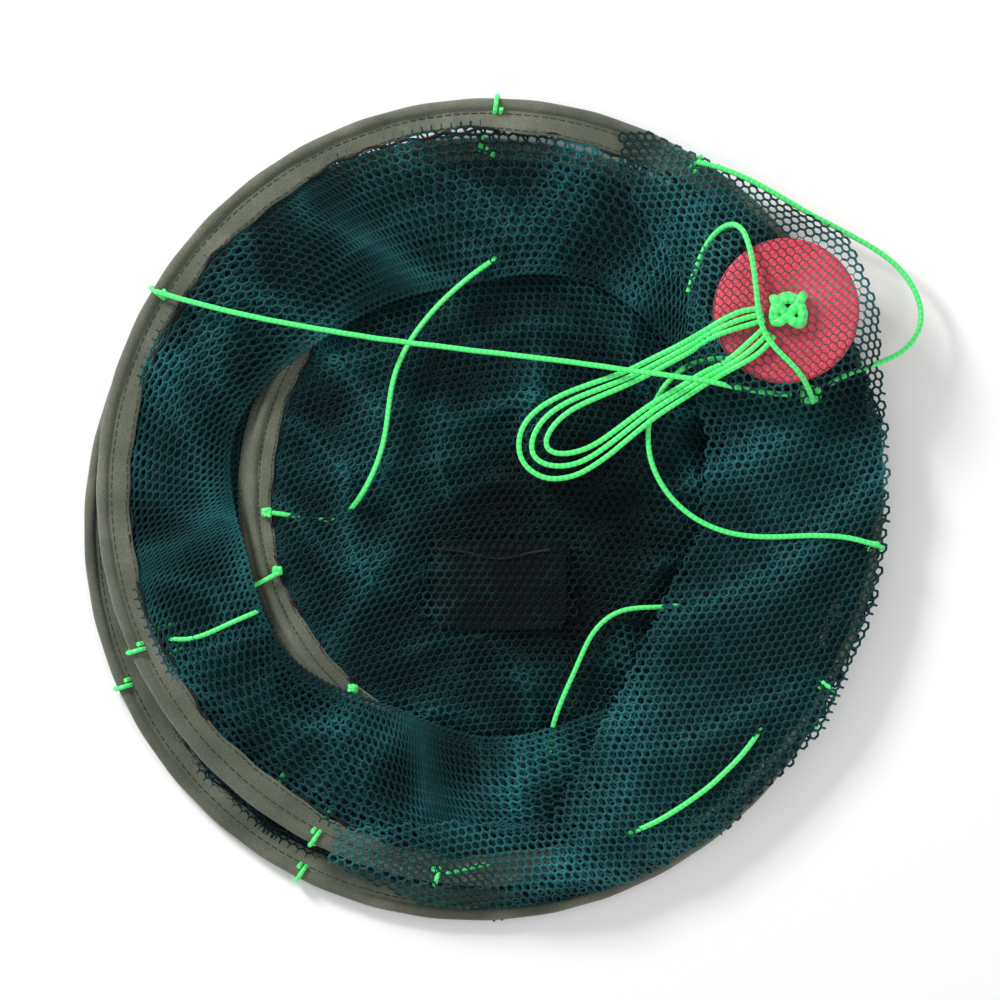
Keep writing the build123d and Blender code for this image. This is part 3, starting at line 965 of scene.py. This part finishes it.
def ball_of_turns(centre, wide, tall, turns, seed):
    """A knot drawn tight: one cord woven over and under itself into an uneven lump."""
    t = np.linspace(0, TAU, 60 * turns, endpoint=False)
    x = centre[0] + wide * np.sin(turns * t + seed)
    y = centre[1] + 0.85 * wide * np.sin((turns + 1) * t) + 0.12 * wide * np.cos(t + seed)
    z = centre[2] + tall * np.sin((2 * turns + 1) * t + 0.3)
    return np.stack([x, y, z], axis=1)


def wound_knot(name, path, radius):
    return tube(name, path, radius, CORD, closed=True, braid=KNOT_RELIEF)


def make_knots():
    low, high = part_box("float_end_knots")
    middle = (low[0] + high[0]) / 2, (low[1] + high[1]) / 2
    top = (middle[0], middle[1], FLOAT_TOP + 5.5 * MM)
    knot = wound_knot("float_top_knot", ball_of_turns(top, 11 * MM, 2.6 * MM, 3, 0.4), 3.7 * MM)
    under = (middle[0], middle[1], low[2] + 2.4 * MM)
    lower = wound_knot("float_under_knot", ball_of_turns(under, 5 * MM, 0.6 * MM, 3, 1.0), 1.7 * MM)
    rope = np.array([(*middle, z) for z in np.linspace(low[2] + 1 * MM, high[2] - 3 * MM, 30)])
    through = tube("float_line", rope, 1.95 * MM, CORD, braid=0.05)
    turns = ball_of_turns(centre_of("gather_knot"), 5.6 * MM, 5 * MM, 4, 0.9)
    gather = wound_knot("gather_knot_turns", turns, 2.4 * MM)
    for ob in (knot, lower, through, gather):
        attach(ob, "haul")
    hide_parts("float_end_knots")
    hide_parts("gather_knot")


def make_hitch(name, centre, angle, body, turns=1.5, tail=9 * MM):
    """A cord hitched round a hoop's roll, with a cut tail."""
    t = np.linspace(0, 1, int(40 * turns))
    turn = TAU * turns * t + 2.2
    r = ROLL_R + STAY_R + 0.1 * MM
    along = (t - 0.5) * turns * 2 * STAY_R * 1.15
    reach = LARGE_R + r * np.cos(turn)
    c, s = math.cos(angle), math.sin(angle)
    x = centre[0] + reach * c - along * s
    y = centre[1] + reach * s + along * c
    z = centre[2] + r * np.sin(turn)
    end = np.array([x[-1], y[-1], z[-1]])
    inwards = np.array((-c * tail - s * 5 * MM, -s * tail + c * 5 * MM, 3 * MM))
    loose = [end + f * inwards for f in (0.5, 1.0)]
    path = smooth_path(np.vstack([np.stack([x, y, z], axis=1)[::3], loose]))
    ob = tube(name, path, STAY_R * 0.92, CORD, braid=BRAID_RELIEF)
    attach(ob, body)
    return ob


def ring_places(node, centre):
    """The angles of a CAD node's hitches round their hoop."""
    co = np.array([v.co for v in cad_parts[node].data.vertices])
    found = []
    for a in sorted(np.degrees(hoop_angle(centre, co)) % 360):
        if not found or a - found[-1][-1] > 5:
            found.append([a])
        else:
            found[-1].append(a)
    if len(found) > 1 and found[0][0] + 360 - found[-1][-1] < 5:
        found[0] += [a - 360 for a in found.pop()]
    return [math.radians(sum(f) / len(f)) for f in found]


def make_hitches():
    for node, centre, body in (
        ("middle_stay_hitches", MIDDLE, "middle"),
        ("rim_stay_hitches", RIM, "rim"),
        ("rim_bridle_hitches", RIM, "rim"),
    ):
        for k, angle in enumerate(ring_places(node, centre)):
            ob = make_hitch(f"{node}_{k + 1}", centre, angle, body)
        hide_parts(node)
    co = np.array([v.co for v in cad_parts["floor_stay_knots"].data.vertices])
    low = FLOOR[2] + 4.5 * MM
    for k, angle in enumerate(ring_places("floor_stay_knots", FLOOR)):
        r = np.hypot(co[:, 0] - FLOOR[0], co[:, 1] - FLOOR[1]).mean()
        place = (FLOOR[0] + r * math.cos(angle), FLOOR[1] + r * math.sin(angle), low)
        turns = ball_of_turns(place, 2.6 * MM, 1.6 * MM, 3, k)
        ob = wound_knot(f"floor_stay_knot_{k + 1}", turns, 1.5 * MM)
        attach(ob, "base")
    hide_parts("floor_stay_knots")


# ======== float ========
def make_float():
    low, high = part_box("float")
    bore = 2.3 * MM
    edge = 4 * MM
    profile = [(bore, low[2])]
    for start, z in ((-90, low[2] + edge), (0, high[2] - edge)):
        for a in np.radians(np.linspace(start, start + 90, 7)):
            profile.append((FLOAT_R - edge + edge * math.cos(a), z + edge * math.sin(a)))
    profile += [(FLOAT_R * f, high[2]) for f in (0.7, 0.45, 0.25)]
    profile += [(bore + 1 * MM, high[2]), (bore, high[2] - 1 * MM)]
    angle = np.linspace(0, TAU, 128, endpoint=False)
    rows = []
    for r, z in profile:
        dents = 0.25 * MM * np.sin(5 * angle + 40 * r / FLOAT_R) * (r > FLOAT_R / 5)
        x, y = on_circle(FLOAT, r, angle)
        rows.append(np.stack([x, y, z + dents], axis=1))
    ob = grid("float_disc", np.array(rows), FOAM, wrap_u=True, wrap_v=True)
    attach(ob, "float")
    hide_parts("float")


# ======== bait pouch ========
POUCH_SIZE = POUCH_HIGH - POUCH_LOW
POUCH_HALF = POUCH_SIZE[2] / 2
POUCH_MIDDLE = (POUCH_LOW[2] + POUCH_HIGH[2]) / 2 + 1.5 * MM
POUCH_LOOSE_EDGE = 16 * MM  # how far its net spreads past the CAD pouch


def make_pouch_cloth():
    """Two crowned dark sheets, upper and lower, that pull in at the corners."""
    u, v = np.meshgrid(np.linspace(-1, 1, 60), np.linspace(-1, 1, 44))
    x = (POUCH_LOW[0] + POUCH_HIGH[0]) / 2 + u * np.sqrt(1 - 0.16 * v**4) * POUCH_SIZE[0] / 2
    y = (POUCH_LOW[1] + POUCH_HIGH[1]) / 2 + v * np.sqrt(1 - 0.20 * u**4) * POUCH_SIZE[1] / 2
    crown = np.sqrt(np.clip((1 - u**4) * (1 - v**4), 0, 1))
    lumps = 0.75 + 0.5 * EDGE_FOLDS(x, y)
    top = np.stack([x, y, POUCH_MIDDLE + crown * POUCH_HALF * lumps], axis=2)
    under = np.stack([x, y, POUCH_MIDDLE - crown * POUCH_HALF * 0.9 - 0.3 * MM], axis=2)
    for name, sheet in (("bait_pouch_top", top), ("bait_pouch_under", under)):
        ob = grid(name, sheet, POUCH)
        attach(ob, "bait")
    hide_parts("bait_pouch")


def make_pouch_net():
    """The pouch's own net, whose loose edge lies unevenly round it, except along the front seam."""
    width = POUCH_SIZE[0] + 2 * POUCH_LOOSE_EDGE
    depth = POUCH_SIZE[1] + 2 * POUCH_LOOSE_EDGE
    flat, edges = honeycomb(width, depth, MESH_PITCH, wrap=False)
    x = flat[:, 0] + POUCH_LOW[0] - POUCH_LOOSE_EDGE
    y = flat[:, 1] + POUCH_LOW[1] - POUCH_LOOSE_EDGE
    u = (2 * x - POUCH_LOW[0] - POUCH_HIGH[0]) / POUCH_SIZE[0]
    v = (2 * y - POUCH_LOW[1] - POUCH_HIGH[1]) / POUCH_SIZE[1]
    over_cloth = (np.abs(u) < 1) & (np.abs(v) < 1)
    crown = np.sqrt(np.clip((1 - u**4) * (1 - v**4), 0, 1)) * over_cloth
    folds = EDGE_FOLDS(x, y)
    z = POUCH_MIDDLE + crown * POUCH_HALF * (0.75 + 0.5 * folds) + 2.2 * MM + (1 - crown) * 3 * MM * folds
    around = np.arctan2(v, u)
    frayed = 1.17 + 0.07 * np.sin(11 * around) + 0.05 * np.sin(23 * around)
    edges = clip(edges, ((u**4 + v**4) ** 0.25 < frayed) & (v > -1))
    corners = np.stack([x, y, z], axis=1)
    ob, _ = strands("bait_pouch_strands", corners, edges, TEAL_FLOOR, folds=folds * 0.8)
    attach(ob, "bait")


def make_pouch_drawcord():
    line = centre_line("bait_pouch_drawcord")[0]
    ob, _ = cord_piece("bait_pouch_drawcord_braid", line, DRAWCORD_R)
    ob.data.materials[0] = SELVAGE
    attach(ob, "bait")
    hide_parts("bait_pouch_drawcord")


# ======== the whole trap ========
def make_walls():
    ring_net(
        "lower_wall_net", lower_wall, LOWER_WALL_RUN, TEAL, "lower_wall_net",
        LOWER_WALL_MEAN_R,
    )
    make_bunched_wall_shade("lower_wall_bunched_shade", lower_wall, 0.0, 0.97, 2.2 * MM)
    ring_net(
        "upper_wall_net", upper_wall, UPPER_WALL_RUN, TEAL, "upper_wall_net",
        UPPER_WALL_MEAN_R,
    )
    ring_net(
        "upper_wall_slack", upper_slack, SLACK_RUN, TEAL, None, SLACK_MEAN_R,
        lambda t: smooth(slack_place(t)),
    )
    make_bunched_wall_shade("upper_wall_bunched_shade", tight_upper_wall, 0.05, 0.86, 2.6 * MM)


def make_covers():
    make_cover("floor_hoop_tape", FLOOR, FLOOR_R, "base", "floor_hoop_cover", FLOOR_HEM, FLOOR_FLANGE)
    make_cover("middle_hoop_tape", MIDDLE, LARGE_R, "middle", "middle_hoop_cover", LARGE_HEM, 0)
    make_cover("rim_hoop_tape", RIM, LARGE_R, "rim", "rim_hoop_cover", LARGE_HEM, 0)


make_floor_net()
make_bunched_floor_shade()
make_walls()
make_throat_net()
make_bunched_throat_shade()
make_covers()
make_cords()
make_haul_line()
make_knots()
make_hitches()
make_float()
make_pouch_cloth()
make_pouch_net()
make_pouch_drawcord()
for hoop in ("floor", "middle", "rim"):
    for part, material in (("wire", WIRE), ("ferrule", SLEEVE)):
        for material_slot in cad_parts[f"{hoop}_hoop_{part}"].material_slots:
            material_slot.material = material


# ======== floor, light and camera ========
def plain_floor():
    material, _, shader = node_material("pale_floor", 0.9)
    shader.inputs["Base Color"].default_value = (0.92, 0.92, 0.92, 1)
    bpy.ops.mesh.primitive_plane_add(size=12, location=(0, 0, -0.0005))
    floor = bpy.context.object
    floor.name = "stage_floor"
    floor.data.materials.append(material)


def soft_light(name, place, size, power):
    light = bpy.data.lights.new(name, "AREA")
    light.size = size
    light.energy = power
    ob = bpy.data.objects.new(name, light)
    ob.location = place
    x, y, z = place
    ob.rotation_euler = (math.atan2(math.hypot(x, y), z), 0, math.atan2(x, -y))
    bpy.context.scene.collection.objects.link(ob)


CAMERA_HEIGHT = 2.6
SENSOR_WIDTH = 36  # millimetres, as the camera's lens length is
VIEW_WIDTH = 0.775  # metres across the picture at the floor
VIEW_SHIFT = (-2.3 * MM, 6.6 * MM)  # from the middle of the CAD box


def overhead_camera():
    """Straight down, with the folded trap filling most of the picture."""
    low, high = CAD_BOX
    camera = bpy.data.cameras.new("camera")
    camera.sensor_width = SENSOR_WIDTH
    camera.lens = SENSOR_WIDTH * CAMERA_HEIGHT / VIEW_WIDTH
    ob = bpy.data.objects.new("camera", camera)
    x = (low[0] + high[0]) / 2 + VIEW_SHIFT[0]
    y = (low[1] + high[1]) / 2 + VIEW_SHIFT[1]
    ob.location = (x, y, CAMERA_HEIGHT)
    bpy.context.scene.collection.objects.link(ob)
    bpy.context.scene.camera = ob


plain_floor()
world = bpy.data.worlds.new("studio")
world.use_nodes = True
world.node_tree.nodes["Background"].inputs["Color"].default_value = (1, 1, 1, 1)
world.node_tree.nodes["Background"].inputs["Strength"].default_value = 0.62
bpy.context.scene.world = world
soft_light("key_light", (-1.3, 1.3, 1.15), 0.5, 44)
soft_light("fill_light", (1.4, -0.8, 1.8), 1.4, 10)
bpy.context.scene.view_settings.view_transform = "Standard"
overhead_camera()
